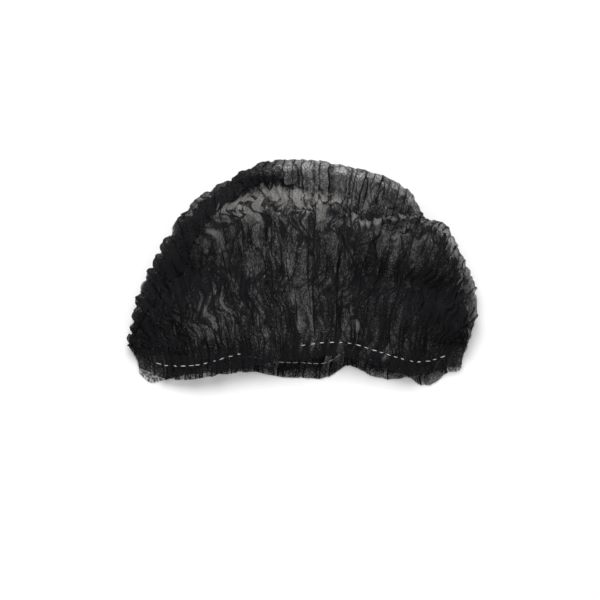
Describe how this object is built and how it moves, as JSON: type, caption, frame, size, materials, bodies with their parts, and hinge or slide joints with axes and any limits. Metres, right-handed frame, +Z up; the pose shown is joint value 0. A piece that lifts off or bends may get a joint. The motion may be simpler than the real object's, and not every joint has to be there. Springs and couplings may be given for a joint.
{
  "type": "bouffant cap",
  "caption": "Soft pleated bouffant cap of thin nonwoven fabric, opened out and lying on its back, with an elastic gathered mouth, hem frills and flat welded end tabs.",
  "frame": {"origin": "centre of the bounding box in X and Y, on the table under the back sheet", "axes": "+X from the left end to the right end of the cap, +Y from the mouth to the crest, +Z up from the table"},
  "size_m": [0.259, 0.1688, 0.0553],
  "materials": {
    "crown_fabric": "matte",
    "rim_fabric": "matte",
    "tab_fabric": "matte",
    "elastic": "matte"
  },
  "bodies": {
    "root": {"crown": "crown_fabric", "front_rim": "rim_fabric", "back_rim": "rim_fabric", "front_elastic": "elastic", "back_elastic": "elastic", "left_end_tab": "tab_fabric", "right_end_tab": "tab_fabric"}
  },
  "joints": []
}
